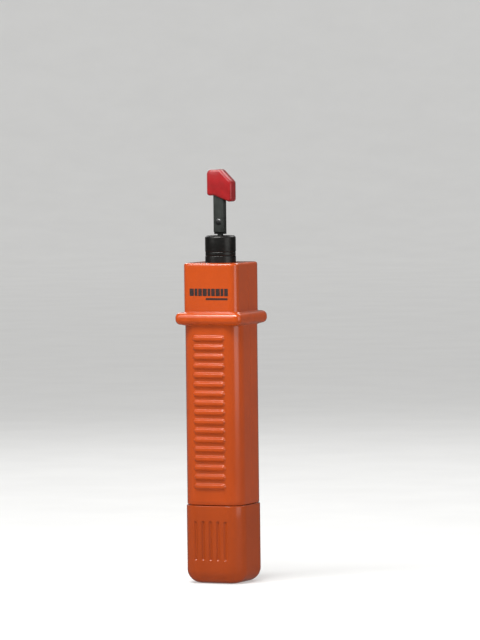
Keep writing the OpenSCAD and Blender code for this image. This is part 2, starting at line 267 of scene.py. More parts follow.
def helix_tube(name, radius, wire_r, z0, z1, turns, axis="z", centre=(0, 0, 0), ends=0.75):
    """A wire coil whose end turns lie flat, as a closed tube."""
    steps, sides = 40, 12
    total = int(turns * steps)
    rings = []
    span = z1 - z0 - 2 * wire_r
    for i in range(total + 1):
        turn = i / steps
        share = min(max((turn - ends) / (turns - 2 * ends), 0.0), 1.0)
        lift = share * span
        a = 2 * math.pi * turn
        c, s = math.cos(a), math.sin(a)
        ring = []
        for j in range(sides):
            b = 2 * math.pi * j / sides
            rr = radius + wire_r * math.cos(b)
            p = (rr * c, rr * s, z0 + wire_r + lift + wire_r * math.sin(b))
            if axis == "y":
                p = (p[0], p[2], p[1])
            ring.append(tuple(p[n] + centre[n] for n in range(3)))
        rings.append(ring)
    verts, faces = loft(rings)
    return add_object(name, verts, faces)


# ---- rounded-square sections ----


def eighth(width, radius, shares):
    """Points from the middle of a side to the middle of its corner.

    Each is (along, out, normal along, normal out, distance along the skin)."""
    flat = width / 2 - radius
    arc = radius * math.pi / 4
    points = []
    for share in shares:
        s = share * (flat + arc)
        if s <= flat:
            points.append((s, width / 2, 0.0, 1.0, s))
        else:
            a = (s - flat) / radius
            points.append(
                (flat + radius * math.sin(a), flat + radius * math.cos(a),
                 math.sin(a), math.cos(a), s)
            )
    return points


def spread(*stops):
    """Shares from stops of (share, number of equal steps up to the next stop)."""
    shares = []
    for (here, steps), (after, _) in zip(stops, stops[1:]):
        shares += [here + (after - here) * i / steps for i in range(steps)]
    return shares + [stops[-1][0]]


RIB_FACE = spread((0.0, 3), (0.45, 12), (0.66, 4), (0.85, 5), (1.0, 0))
PLAIN_FACE = spread((0.0, 2), (0.42, 8), (0.85, 5), (1.0, 0))
INNER_FACE = spread((0.0, 2), (0.55, 4), (0.88, 3), (1.0, 0))


def side_points(width, radius, shares, face):
    """One side's points from corner middle to corner middle, counter-clockwise seen from above.

    face is the side's outward direction: "-y", "+x", "+y" or "-x"."""
    half = eighth(width, radius, shares)
    row = [(-a, o, -na, no, -s) for a, o, na, no, s in reversed(half[1:])] + half
    turn = {
        "-y": lambda a, o: (a, -o),
        "+x": lambda a, o: (o, a),
        "+y": lambda a, o: (-a, o),
        "-x": lambda a, o: (-o, -a),
    }[face]
    return [(*turn(a, o), *turn(na, no), s) for a, o, na, no, s in row]


def half_ring(width, radius, front_shares, side_shares):
    """Points round the front half, from the right seam to the left seam, as (x, y, nx, ny, s)."""
    right = side_points(width, radius, side_shares, "+x")
    middle = len(right) // 2
    left = side_points(width, radius, side_shares, "-x")
    front = side_points(width, radius, front_shares, "-y")
    points = [(*p[:4], None) for p in reversed(right[: middle + 1])]
    points += list(reversed(front))[1:-1]
    points += [(*p[:4], None) for p in reversed(left[middle:])]
    return points


def rib_height(s, z):
    """How far the grip ribs stand out of the face at that place."""
    if s is None:
        return 0.0
    i = min(max(round((z - RIB_FIRST_Z) / RIB_PITCH), 0), RIB_COUNT - 1)
    across = z - RIB_FIRST_Z - i * RIB_PITCH
    past_end = max(abs(s) - RIB_HALF_LEN, 0.0)
    d = math.hypot(across, past_end) / RIB_REACH
    if d >= 1:
        return 0.0
    t = min(max((d - RIB_CREST) / (1 - RIB_CREST), 0.0), 1.0)
    return RIB_PROUD * (1 - t * t * (3 - 2 * t))


def arc_points(centre, radius, start, end, steps):
    """(half width, z) points along an arc, with angles in degrees from the outward direction."""
    out = []
    for i in range(steps + 1):
        a = math.radians(start + (end - start) * i / steps)
        out.append((centre[0] + radius * math.cos(a), centre[1] + radius * math.sin(a)))
    return out


def shell_outline():
    """The shell's outer side as (z, width, corner radius), from the neck to the mouth."""
    outline = [
        (SHELL_LOW[2], NECK_W - 0.8, NECK_R - 0.4),
        (SHELL_LOW[2] + 0.12, NECK_W - 0.3, NECK_R - 0.15),
        (SHELL_LOW[2] + 0.4, NECK_W, NECK_R),
        (HANDLE_Z, NECK_W, NECK_R),
        (HANDLE_Z + 0.002, HANDLE_W - 0.9, HANDLE_R - 0.45),
        (HANDLE_Z + 0.12, HANDLE_W - 0.35, HANDLE_R - 0.18),
        (HANDLE_Z + 0.4, HANDLE_W, HANDLE_R),
    ]
    # fillet from the handle into the flange, then the flange's round edge
    fillet = 0.6
    half = HANDLE_W / 2
    nose_half = FLANGE_W / 2 - FLANGE_EDGE_R
    low_centre = (nose_half, FLANGE_Z + FLANGE_EDGE_R)
    top_centre = (nose_half, FLANGE_TOP_Z - FLANGE_EDGE_R)
    reach = half + fillet - low_centre[0]
    drop = math.sqrt((FLANGE_EDGE_R + fillet) ** 2 - reach**2)
    fillet_centre = (half + fillet, low_centre[1] - drop)
    meet = math.degrees(math.atan2(drop, -reach))
    for x, z in arc_points(fillet_centre, fillet, 180, meet, 5):
        share = (z - fillet_centre[1]) / (FLANGE_Z + 0.12 - fillet_centre[1])
        outline.append((z, 2 * x, HANDLE_R + (1.2 - HANDLE_R) * min(share, 1.0)))
    start = meet - 180
    for x, z in arc_points(low_centre, FLANGE_EDGE_R, start, 0, 8)[1:]:
        outline.append((z, 2 * x, max(FLANGE_R - (FLANGE_W / 2 - x), 1.2)))
    for x, z in arc_points(top_centre, FLANGE_EDGE_R, 0, 90, 9):
        outline.append((z, 2 * x, max(FLANGE_R - (FLANGE_W / 2 - x), 1.2)))
    # fillet into the nose and the nose's rounded top edge
    foot = 0.5
    for x, z in arc_points((NOSE_W / 2 + foot, FLANGE_TOP_Z + foot), foot, 265, 180, 5):
        outline.append((z, 2 * x, NOSE_R))
    for x, z in arc_points(
        (NOSE_W / 2 - NOSE_EDGE_R, NOSE_TOP_Z - NOSE_EDGE_R), NOSE_EDGE_R, 0, 90, 7
    ):
        outline.append((z, 2 * x, NOSE_R - (NOSE_W / 2 - x)))
    return outline


def shell_inside():
    """The shell's inner side as (z, width, corner radius)."""
    mouth_z = NOSE_TOP_Z - WALL
    return [
        (SHELL_LOW[2], NECK_IN_W + 0.6, NECK_IN_R + 0.3),
        (SHELL_LOW[2] + 0.3, NECK_IN_W, NECK_IN_R),
        (39.5, NECK_IN_W, NECK_IN_R),
        (41.0, HANDLE_IN_W, HANDLE_IN_R),
        (121.5, HANDLE_IN_W, HANDLE_IN_R),
        (122.2, NOSE_IN_W, NOSE_IN_R),
        (mouth_z, NOSE_IN_W, NOSE_IN_R),
        (mouth_z + 0.002, 2 * MOUTH_R, MOUTH_R - 0.001),
        (NOSE_TOP_Z - 0.35, 2 * MOUTH_R, MOUTH_R - 0.001),
        (NOSE_TOP_Z, 2 * MOUTH_R + 0.7, MOUTH_R + 0.349),
    ]


def shell_half(name, mirror):
    """One moulded half as a closed skin; mirror is 1 for the front and -1 for the back."""
    outline, inside = shell_outline(), shell_inside()
    rib_low = RIB_FIRST_Z - RIB_REACH - 0.1
    rib_high = RIB_FIRST_Z + (RIB_COUNT - 1) * RIB_PITCH + RIB_REACH + 0.1
    ribs = np.linspace(rib_low, rib_high, int((rib_high - rib_low) / 0.2) + 1)
    heights = {round(z, 5) for z, _, _ in outline + inside}
    heights |= {round(float(z), 5) for z in ribs}
    rings = []
    for z in sorted(heights):
        w_out = np.interp(z, [p[0] for p in outline], [p[1] for p in outline])
        r_out = np.interp(z, [p[0] for p in outline], [p[2] for p in outline])
        w_in = np.interp(z, [p[0] for p in inside], [p[1] for p in inside])
        r_in = np.interp(z, [p[0] for p in inside], [p[2] for p in inside])
        ring = []
        outer = half_ring(w_out, r_out, RIB_FACE, PLAIN_FACE)
        for x, y, nx, ny, s in outer[1:-1]:
            lift = rib_height(s, z)
            ring.append((x + nx * lift, y + ny * lift, z))
        half = w_out / 2
        lip = [(half - 0.09, -SEAM), (half - 0.03, -SEAM - 0.02), (half, -SEAM - 0.08)]
        lip += [(half, -SEAM - 0.3)]
        ring = [(x, y, z) for x, y in lip] + ring + [(-x, y, z) for x, y in reversed(lip)]
        inner = half_ring(w_in, r_in, INNER_FACE, INNER_FACE)
        inner_points = [(x, min(y, -SEAM), z) for x, y, *_ in inner]
        ring += list(reversed(inner_points))
        rings.append([(x, y * mirror, h) for x, y, h in ring])
    verts, faces = loft(rings)
    return add_object(name, verts, faces)


def cylinder(name, radius, low, high, axis, at, steps=48):
    """A plain closed cylinder, used only to add to or cut other parts."""
    return lathe(name, [(0, low), (radius, low), (radius, high), (0, high)], steps, axis, at)


def block(name, low, high):
    """A plain box, used only to add to or cut other parts."""
    outline = [(low[0], low[2]), (high[0], low[2]), (high[0], high[2]), (low[0], high[2])]
    verts = [(x, low[1], z) for x, z in outline] + [(x, high[1], z) for x, z in outline]
    return add_object(name, *loft([verts[:4], verts[4:]]), smooth=False)


def half_plate(name, width, radius, z, thick, mirror):
    """Half of an inner rib that crosses the handle, up to the seam."""
    outline = half_ring(width, radius, INNER_FACE, INNER_FACE)
    ring = [(x, min(y, -SEAM) * mirror) for x, y, *_ in outline]
    rings = [[(x, y, h) for x, y in ring] for h in (z, z + thick)]
    return add_object(name, *loft(rings), smooth=False)


SCREW_PLACES = [(7.6, 41.8, 2.4), (10.3, 131.0, 1.7)]
SADDLE_HEIGHTS = (68.0, 86.0, 108.0, 119.0)
NOSE_RIB_HEIGHTS = (138.0, 145.0)
RIB_THICK = 1.6
BARREL_SEAT_R = 10.35
BUSHING_SEAT_R = 9.55
SCREW_SEAT_Y = 12.2
SCREW_HOLE_R, SCREW_PILOT_R, SCREW_PILOT_Y = 1.3, 1.12, -7.5
SINK_R, SINK_MOUTH_R = 2.3, 2.75
BOSS_TOP_Y = 12.9
OUTSIDE_Y = 20
DIAL_Z = (DIAL_LOW[2] + DIAL_HIGH[2]) / 2
DIAL_HOLE_R = 4.5
DIAL_RECESS_R = 5.6
MARK_R = 6.6
TRIP_SLOT = (4.25, 9.0, 11.6, 90.0, 148.6)


def fit_out_shell(shell, mirror):
    """Adds the ribs, bosses and holes inside one half."""
    handle_bore = HANDLE_IN_W + 1, HANDLE_IN_R + 0.5
    nose_bore = NOSE_IN_W + 1, NOSE_IN_R + 0.5
    inner_ribs = [(*handle_bore, SHELF_Z, SHELF_TOP_Z - SHELF_Z, None)]
    inner_ribs += [(*handle_bore, z, RIB_THICK, BARREL_SEAT_R) for z in SADDLE_HEIGHTS]
    inner_ribs += [(*nose_bore, z, RIB_THICK, BUSHING_SEAT_R) for z in NOSE_RIB_HEIGHTS]
    for width, radius, z, thick, seat in inner_ribs:
        plate = half_plate("plate", width, radius, z, thick, mirror)
        if seat:
            hole = cylinder("hole", seat, z - 1, z + thick + 1, "z", (0, 0, 0), 96)
            boolean(plate, hole, "DIFFERENCE")
        if seat and mirror < 0:
            x, y0, y1, z0, z1 = TRIP_SLOT
            boolean(plate, block("slot", (-x, y0, z0), (x, y1, z1)), "DIFFERENCE")
        boolean(shell, plate, "UNION")
    for x, z, boss_r in SCREW_PLACES:
        for side in (-1, 1):
            at = (side * x, 0, z)
            ends = sorted((-mirror * SEAM, -mirror * BOSS_TOP_Y))
            boolean(shell, cylinder("boss", boss_r, ends[0], ends[1], "y", at, 32), "UNION")
    for x, z, _ in SCREW_PLACES:
        for side in (-1, 1):
            at = (side * x, 0, z)
            if mirror > 0:
                pilot = cylinder("pilot", SCREW_PILOT_R, SCREW_PILOT_Y, 1, "y", at, 24)
                boolean(shell, pilot, "DIFFERENCE")
                continue
            hole = cylinder("hole", SCREW_HOLE_R, -1, OUTSIDE_Y, "y", at, 24)
            boolean(shell, hole, "DIFFERENCE")
            skin_y = (HANDLE_W if z < FLANGE_Z else NOSE_W) / 2
            mouth = [
                (0, SCREW_SEAT_Y), (SINK_R, SCREW_SEAT_Y), (SINK_R, skin_y - 0.35),
                (SINK_MOUTH_R, skin_y + 0.1), (SINK_MOUTH_R, OUTSIDE_Y), (0, OUTSIDE_Y),
            ]
            boolean(shell, lathe("sink", mouth, 40, "y", at), "DIFFERENCE")


front_shell = shell_half("front_shell_skin", 1)
back_shell = shell_half("back_shell_skin", -1)
fit_out_shell(front_shell, 1)
fit_out_shell(back_shell, -1)
BACK_Y = NOSE_W / 2
dial_seat = [
    (0, 11), (DIAL_RECESS_R, 11), (DIAL_RECESS_R, BACK_Y - 1.1), (DIAL_HOLE_R, BACK_Y - 1.1),
    (DIAL_HOLE_R, BACK_Y - 0.4), (DIAL_HOLE_R + 0.45, BACK_Y + 0.1),
    (DIAL_HOLE_R + 0.45, OUTSIDE_Y), (0, OUTSIDE_Y),
]
boolean(back_shell, lathe("dial_seat", dial_seat, 64, "y", (0, 0, DIAL_Z)), "DIFFERENCE")
# one dot for the light setting and two for the heavy one, round the dial
for angle in (45, -37, -53):
    dot = [(0, BACK_Y - 0.3), (0.35, BACK_Y - 0.25), (0.5, BACK_Y + 0.2), (0, BACK_Y + 0.2)]
    dot_x = MARK_R * math.cos(math.radians(angle))
    dot_z = DIAL_Z + MARK_R * math.sin(math.radians(angle))
    boolean(back_shell, lathe("dot", dot, 20, "y", (dot_x, 0, dot_z)), "DIFFERENCE")

# ---- end cap ----

CAP_W, CAP_R = CAP_HIGH[0] - CAP_LOW[0], 8.35
CAP_H = CAP_HIGH[2]
CAP_IN_W, CAP_IN_R = 26.0, 6.25
CAP_FLOOR_Z, CAP_FOOT_R, CAP_IN_FOOT_R = 2.4, 6.5, 4.4
GROOVE_COUNT, GROOVE_PITCH = 5, 3.8
GROOVE_LOW_Z, GROOVE_HIGH_Z = 10.9, 29.9
GROOVE_HALF_W, GROOVE_DEPTH = 1.05, 0.62


def full_ring(width, radius, front_shares, side_shares):
    """Points all round, as (x, y, nx, ny, s); s is kept on the front and back only."""
    points = []
    faces = (("-y", front_shares), ("+x", side_shares), ("+y", front_shares), ("-x", side_shares))
    for face, shares in faces:
        row = side_points(width, radius, shares, face)[:-1]
        keep = face in ("-y", "+y")
        points += [(*p[:4], p[4] if keep else None) for p in row]
    return points


def groove_depth(s, z):
    """How deep the finger grooves are cut at that place."""
    if s is None:
        return 0.0
    middle = (GROOVE_COUNT - 1) / 2
    i = min(max(round(s / GROOVE_PITCH + middle), 0), GROOVE_COUNT - 1)
    across = s - (i - middle) * GROOVE_PITCH
    low, high = GROOVE_LOW_Z + GROOVE_HALF_W, GROOVE_HIGH_Z - GROOVE_HALF_W
    past_end = max(low - z, z - high, 0.0)
    d = math.hypot(across, past_end) / GROOVE_HALF_W
    if d >= 1:
        return 0.0
    t = min(max((d - 0.25) / 0.75, 0.0), 1.0)
    return GROOVE_DEPTH * (1 - t * t * (3 - 2 * t))


def cap_skin():
    """The hollow cap as one skin, from the middle of its foot round its rim to the inner floor."""
    outline = [(0.0, 2.0, 0.9), (0.0, 9.0, 1.9), (0.0, CAP_W - 2 * CAP_FOOT_R, 2.2)]
    for half, z in arc_points((CAP_W / 2 - CAP_FOOT_R, CAP_FOOT_R), CAP_FOOT_R, -90, 0, 14)[1:]:
        inset = CAP_W / 2 - half
        outline.append((z, 2 * half, max(CAP_R - 0.95 * inset, 2.2)))
    groove_rows = [float(z) for z in np.linspace(GROOVE_LOW_Z - 0.2, GROOVE_LOW_Z + 2.4, 15)]
    groove_rows += [float(z) for z in np.linspace(GROOVE_LOW_Z + 4, GROOVE_HIGH_Z - 4, 6)]
    groove_rows += [float(z) for z in np.linspace(GROOVE_HIGH_Z - 2.4, GROOVE_HIGH_Z + 0.2, 15)]
    outline += [(z, CAP_W, CAP_R) for z in groove_rows]
    for half, z in arc_points((CAP_W / 2 - 0.4, CAP_H - 0.4), 0.4, 0, 90, 4):
        outline.append((z, 2 * half, CAP_R - (CAP_W / 2 - half)))
    rim_r = 0.3
    for half, z in arc_points((CAP_IN_W / 2 + rim_r, CAP_H - rim_r), rim_r, 90, 180, 4):
        outline.append((z, 2 * half, CAP_IN_R + half - CAP_IN_W / 2))
    outline.append((CAP_FLOOR_Z + CAP_IN_FOOT_R + 0.5, CAP_IN_W, CAP_IN_R))
    inner_foot = (CAP_IN_W / 2 - CAP_IN_FOOT_R, CAP_FLOOR_Z + CAP_IN_FOOT_R)
    for half, z in arc_points(inner_foot, CAP_IN_FOOT_R, 0, -90, 8):
        outline.append((z, 2 * half, max(CAP_IN_R - (CAP_IN_W / 2 - half), 1.6)))
    outline += [(CAP_FLOOR_Z, 8.0, 1.6), (CAP_FLOOR_Z, 2.0, 0.9)]
    front = spread((0.0, 40), (0.66, 4), (0.82, 5), (1.0, 0))
    rings = []
    outer_rows = 3 + 14 + len(groove_rows)
    for row, (z, width, radius) in enumerate(outline):
        ring = []
        for x, y, nx, ny, s in full_ring(width, radius, front, PLAIN_FACE):
            sink = groove_depth(s, z) if row < outer_rows else 0.0
            ring.append((x - nx * sink, y - ny * sink, z))
        rings.append(ring)
    return add_object("end_cap_skin", *loft(rings))


end_cap = cap_skin()


# ---- spindle and blade lock ----

SPINDLE_R = 7.25
SPINDLE_TOP_Z = SPINDLE_HIGH[2]
SHOULDER_Z, SHOULDER_TOP_Z, SHOULDER_R = SPINDLE_LOW[2], SPINDLE_LOW[2] + 3, SPINDLE_HIGH[0]
PIN_POCKET_R, PIN_POCKET_Z = 2.52, SHOULDER_Z + 3.5
SOCKET_R, SOCKET_Z = 3.1, 136.0
LOCK_SEAT_R, LOCK_SEAT_Z = 5.0, 162.0
RING_R = RING_HIGH[0]
BALL_Z = (RING_LOW[2] + RING_HIGH[2]) / 2
BALL_BORE_R = 1.55

spindle_profile = [
    (0, PIN_POCKET_Z), (PIN_POCKET_R, PIN_POCKET_Z), (PIN_POCKET_R, SHOULDER_Z),
    (SHOULDER_R, SHOULDER_Z), (SHOULDER_R, SHOULDER_TOP_Z), (SPINDLE_R, SHOULDER_TOP_Z),
    (SPINDLE_R, BALL_Z - 1), (6.3, BALL_Z - 1), (6.3, BALL_Z + 1), (SPINDLE_R, BALL_Z + 1),
    (SPINDLE_R, SPINDLE_TOP_Z - 0.75), (SPINDLE_R - 0.75, SPINDLE_TOP_Z),
    (LOCK_SEAT_R, SPINDLE_TOP_Z), (LOCK_SEAT_R, LOCK_SEAT_Z), (SOCKET_R, LOCK_SEAT_Z),
    (SOCKET_R, SOCKET_Z), (0, SOCKET_Z),
]
spindle = lathe("spindle_turned", round_profile(spindle_profile, 0.16, 4), 128)
ball_bore = lathe("bore", [(0, 4), (BALL_BORE_R, 4), (BALL_BORE_R, 9), (0, 9)], 32, "y")
ball_bore.rotation_euler = (0, 0, math.radians(-90))
ball_bore.location = (0, 0, BALL_Z * MM)
bpy.context.view_layer.update()
boolean(spindle, ball_bore, "DIFFERENCE")


def split_ring(name, r_in, r_out, z0, z1, half_gap):
    """A flat ring with a gap on its -X side and rounded edges."""
    edge, turns = 0.18, 96
    section = []
    for cx, cz, start in (
        (r_out - edge, z0 + edge, -90), (r_out - edge, z1 - edge, 0),
        (r_in + edge, z1 - edge, 90), (r_in + edge, z0 + edge, 180),
    ):
        section += arc_points((cx, cz), edge, start, start + 90, 3)
    opening = math.asin(half_gap / ((r_in + r_out) / 2))
    rings = []
    for i in range(turns + 1):
        a = -math.pi + opening + (2 * math.pi - 2 * opening) * i / turns
        rings.append([(r * math.cos(a), r * math.sin(a), z) for r, z in section])
    return add_object(name, *loft(rings))


lock_ring = split_ring("lock_ring_spring", 6.35, RING_R, RING_LOW[2], RING_HIGH[2], 0.6)

# ---- blades ----

FORK_AT, FORK_DEPTH = 0.6, 3.5
WAIST_W, WAIST_LOW, WAIST_HIGH = 2.2, 25.8, 28.2
BLADE_W, BLADE_T = BLADE_HIGH[0] - BLADE_LOW[0], BLADE_HIGH[1] - BLADE_LOW[1]
BLADE_LEN = BLADE_HIGH[2] - BLADE_LOW[2]
RIVET_Z = (RIVET_LOW[2] + RIVET_HIGH[2]) / 2


def blade_outline(z0, fork_w):
    """A flat double-ended blade with forked ends and a lock waist at its middle."""
    half, waist, z1 = BLADE_W / 2, WAIST_W / 2, z0 + BLADE_LEN
    low, high = z0 + WAIST_LOW, z0 + WAIST_HIGH
    left, right = FORK_AT - fork_w / 2, FORK_AT + fork_w / 2
    return [
        (-half, z0), (left, z0), (left, z0 + FORK_DEPTH), (right, z0 + FORK_DEPTH), (right, z0),
        (half, z0), (half, low), (waist, low), (waist, high), (half, high),
        (half, z1), (right, z1), (right, z1 - FORK_DEPTH), (left, z1 - FORK_DEPTH), (left, z1),
        (-half, z1), (-half, high), (-waist, high), (-waist, low), (-half, low),
    ]


SPARE_LOW = node_box("spare_blade")[0]
BLADE_BEVEL, CUTTER_BEVEL = 0.13, 0.16
RIVET_HOLE_R = 0.95


def ground_blade(name, low_z, fork_w):
    outline = blade_outline(low_z, fork_w)
    return bevelled_prism(name, outline, -BLADE_T / 2, BLADE_T / 2, BLADE_BEVEL)


blade = ground_blade("blade_ground", BLADE_LOW[2], 1.1)
spare_blade = ground_blade("spare_blade_ground", SPARE_LOW[2], 0.8)
cutter_outline = [
    (CUTTER_LOW[0], CUTTER_LOW[2]), (CUTTER_HIGH[0], CUTTER_LOW[2]),
    (CUTTER_HIGH[0], 187.0), (CUTTER_LOW[0], CUTTER_HIGH[2]),
]
blade_cutter = bevelled_prism(
    "blade_cutter_ground", cutter_outline, CUTTER_LOW[1], CUTTER_HIGH[1], CUTTER_BEVEL
)
for pierced in (blade, blade_cutter):
    hole = cylinder("hole", RIVET_HOLE_R, -3, 3, "y", (0, 0, RIVET_Z), 32)
    boolean(pierced, hole, "DIFFERENCE")
rivet_r = (RIVET_HIGH[2] - RIVET_LOW[2]) / 2
rivet_profile = [
    (0, RIVET_LOW[1]), (0.8, RIVET_LOW[1] + 0.04), (1.3, RIVET_LOW[1] + 0.18), (rivet_r, -2.06),
    (0.9, -2.05), (0.9, 1.05), (rivet_r, 1.06), (1.3, RIVET_HIGH[1] - 0.12),
    (0.8, RIVET_HIGH[1] - 0.03), (0, RIVET_HIGH[1]),
]
blade_rivet = lathe("blade_rivet_peened", rivet_profile, 40, "y", (0, 0, RIVET_Z))

# ---- soft cover over the blade's tip ----


def rounded_outline(corners, steps=7):
    """Points of a rounded polygon with outward normals.

    The corners are (x, z, radius), counter-clockwise."""
    points = []
    count = len(corners)
    for i, (x, z, r) in enumerate(corners):
        here = np.array((x, z))
        to_here = here - np.array(corners[i - 1][:2])
        onward = np.array(corners[(i + 1) % count][:2]) - here
        to_here, onward = to_here / np.linalg.norm(to_here), onward / np.linalg.norm(onward)
        side = 1 if to_here[0] * onward[1] - to_here[1] * onward[0] > 0 else -1
        half_turn = math.acos(float(np.clip(-to_here @ onward, -1, 1))) / 2
        towards = (onward - to_here) / np.linalg.norm(onward - to_here)
        centre = here + towards * r / math.sin(half_turn)
        a0 = math.atan2(-to_here[0], to_here[1])
        a1 = math.atan2(-onward[0], onward[1])
        a1 = a0 + ((a1 - a0 + math.pi) % (2 * math.pi) - math.pi)
        for j in range(steps + 1):
            a = a0 + (a1 - a0) * j / steps
            n = (math.cos(a), math.sin(a))
            points.append((centre[0] + side * r * n[0], centre[1] + side * r * n[1], *n))
    return points


def pillow(name, corners, half_t, edge, crown):
    """A thick soft-edged plate standing in XZ, slightly crowned on both faces."""
    outline = rounded_outline(corners)
    middle = np.mean([p[:2] for p in outline], axis=0)
    rows = [(edge + 1.6, 0.35, half_t), (edge + 0.7, 0.75, half_t - 0.25 * crown)]
    rows += [
        (edge * (1 - math.sin(a)), None, half_t - crown - (edge - edge * math.cos(a)))
        for a in np.radians(np.linspace(0, 90, 8))
    ]
    rings = []
    for side in (-1, 1):
        ordered = rows if side < 0 else rows[::-1]
        for inset, share, y in ordered:
            ring = []
            for x, z, nx, nz in outline:
                if share is None:
                    px, pz = x - nx * inset, z - nz * inset
                else:
                    px, pz = np.array((x - nx * edge, z - nz * edge)) * share + middle * (1 - share)
                ring.append((px, side * y, pz))
            rings.append(ring)
    return add_object(name, *loft(rings))


TIP_POCKET = ((-2.95, -2.55, TIP_LOW[2] - 4), (2.95, 1.55, BLADE_HIGH[2] + 0.4))
tip_corners = [
    (TIP_HIGH[0], TIP_LOW[2] - 0.1, 1.4), (TIP_HIGH[0], 188.9, 2.0), (1.3, TIP_HIGH[2], 1.9),
    (TIP_LOW[0], TIP_HIGH[2] - 0.2, 2.2), (TIP_LOW[0], 182.4, 1.3), (-1.9, 182.5, 3.5),
]
tip_cap = pillow("tip_cap_soft", tip_corners, TIP_HIGH[1], 1.25, 0.12)
boolean(tip_cap, block("pocket", *TIP_POCKET), "DIFFERENCE")

# ---- dial, screws and springs ----

DIAL_FLANGE_R, DIAL_FACE_R = 5.5, 4.4
DIAL_TOP_Y = DIAL_HIGH[1]
SLOT_FLOOR_Y = DIAL_TOP_Y - 0.9
PIN_SHIFT = 1.131
dial_profile = [
    (0, 11.75), (DIAL_FLANGE_R, 11.75), (DIAL_FLANGE_R, 12.65), (DIAL_FACE_R, 12.65),
    (DIAL_FACE_R, DIAL_TOP_Y - 0.25), (DIAL_FACE_R - 0.25, DIAL_TOP_Y), (0, DIAL_TOP_Y),
]
dial_profile = round_profile(dial_profile, 0.1, 3)
impact_dial = lathe("impact_dial_face", dial_profile, 96, "y", (0, 0, DIAL_Z))
dial_pin = cylinder("pin", 1.2, DIAL_LOW[1], 12, "y", (PIN_SHIFT, 0, DIAL_Z + PIN_SHIFT), 32)
boolean(impact_dial, dial_pin, "UNION")
arrow = [(-3.3, -0.6), (1.9, -0.6), (1.9, -1.45), (3.7, 0), (1.9, 1.45), (1.9, 0.6), (-3.3, 0.6)]
turned = [((x - z) * math.sqrt(0.5), (x + z) * math.sqrt(0.5) + DIAL_Z) for x, z in arrow]
arrow_rings = [[(x, y, z) for x, z in turned] for y in (SLOT_FLOOR_Y, DIAL_TOP_Y + 1)]
arrow_cut = add_object("arrow", *loft(arrow_rings), smooth=False)
boolean(impact_dial, arrow_cut, "DIFFERENCE")


THREAD_R, THREAD_ROOT_R = 1.1, 0.82
THREAD_PITCH, THREAD_END_Y = 0.62, 3.5
CROSS_TAPER = 0.75


def screw(x, z):
    """A cross-head screw along Y with a rolled thread."""
    low, seat = SCREWS_LOW[1], SCREW_SEAT_Y
    top = SCREWS_HIGH[1]
    profile = [(0, low), (0.45, low + 0.15), (0.85, low + 0.7)]
    thread_z = low + 1.0
    while thread_z < THREAD_END_Y:
        profile += [
            (THREAD_ROOT_R, thread_z), (THREAD_R, thread_z + 0.22),
            (THREAD_R, thread_z + 0.28), (THREAD_ROOT_R, thread_z + 0.5),
        ]
        thread_z += THREAD_PITCH
    profile += [(1.0, 4.4), (1.0, seat), (1.95, seat), (2.1, seat + 0.15), (2.1, seat + 0.75)]
    profile += [(1.92, top - 0.35), (1.35, top - 0.1), (0.7, top), (0, top)]
    ob = lathe("screw", profile, 40, "y", (x, 0, z))
    for half_w, half_h in ((1.3, 0.29), (0.29, 1.3)):
        u, v = half_w * CROSS_TAPER, half_h * CROSS_TAPER
        inner = [(-u, -v), (u, -v), (u, v), (-u, v)]
        outer = [(u / CROSS_TAPER, v / CROSS_TAPER) for u, v in inner]
        levels = ((inner, top - 0.85), (outer, top + 0.1))
        rings = [[(x + u, y, z + v) for u, v in row] for row, y in levels]
        boolean(ob, add_object("cross", *loft(rings), smooth=False), "DIFFERENCE")
    return ob


shell_screws = join(
    "shell_screws_cut", [screw(side * x, z) for x, z, _ in SCREW_PLACES for side in (-1, 1)]
)


def coil_in_node(name, node, wire_r, turns):
    """An upright coil that fills the box of a CAD node."""
    low, high = node_box(node)
    radius = (high[0] - low[0]) / 2 - wire_r
    return helix_tube(name, radius, wire_r, low[2], high[2], turns)


impact_spring = coil_in_node("impact_spring_wound", "impact_spring", 0.9, 8.5)
return_spring = coil_in_node("return_spring_wound", "return_spring", 0.45, 7)
LATCH_SPRING_LOW, LATCH_SPRING_HIGH = node_box("latch_spring")
latch_spring = helix_tube(
    "latch_spring_wound", 0.725, 0.175, LATCH_SPRING_LOW[1], LATCH_SPRING_HIGH[1], 9, "y",
    (0, 0, (LATCH_SPRING_LOW[2] + LATCH_SPRING_HIGH[2]) / 2),
)

# ---- printed mark on the nose, a plain row of blocks over a line ----

MARK_Z, MARK_H = 135.6, 3.5
LINE_Z, LINE_H = 133.7, 1.0
MARK_HALF_W = 9.8
INK_PROUD = 0.03
BLOCK_COUNT, BLOCK_WIDTHS, BLOCK_GAP = 9, (2.2, 1.5, 1.9), 0.37


def flat_mark():
    blocks = []
    x = -MARK_HALF_W
    for i in range(BLOCK_COUNT):
        width = BLOCK_WIDTHS[i % len(BLOCK_WIDTHS)]
        blocks.append((x, x + width, MARK_Z, MARK_Z + MARK_H))
        x += width + BLOCK_GAP
    blocks.append((-1.5, MARK_HALF_W, LINE_Z, LINE_Z + LINE_H))
    parts = []
    face = -NOSE_W / 2
    for x0, x1, z0, z1 in blocks:
        corners = [(x1, z0, 0.25), (x1, z1, 0.25), (x0, z1, 0.25), (x0, z0, 0.25)]
        row = rounded_outline(corners, 3)
        rings = [[(px, y, pz) for px, pz, *_ in row] for y in (face + 0.15, face - INK_PROUD)]
        parts.append(add_object("ink", *loft(rings), smooth=False))
    return join("nose_mark", parts)


nose_mark = flat_mark()

# ---- materials ----

BODIES = {
    "handle": [front_shell, back_shell, shell_screws, impact_spring, nose_mark],
    "spindle": [spindle, return_spring, lock_ring],
    "hammer": [latch_spring],
    "impact_dial": [impact_dial],
    "blade": [blade, blade_cutter, blade_rivet],
    "tip_cap": [tip_cap],
    "end_cap": [end_cap, spare_blade],
}


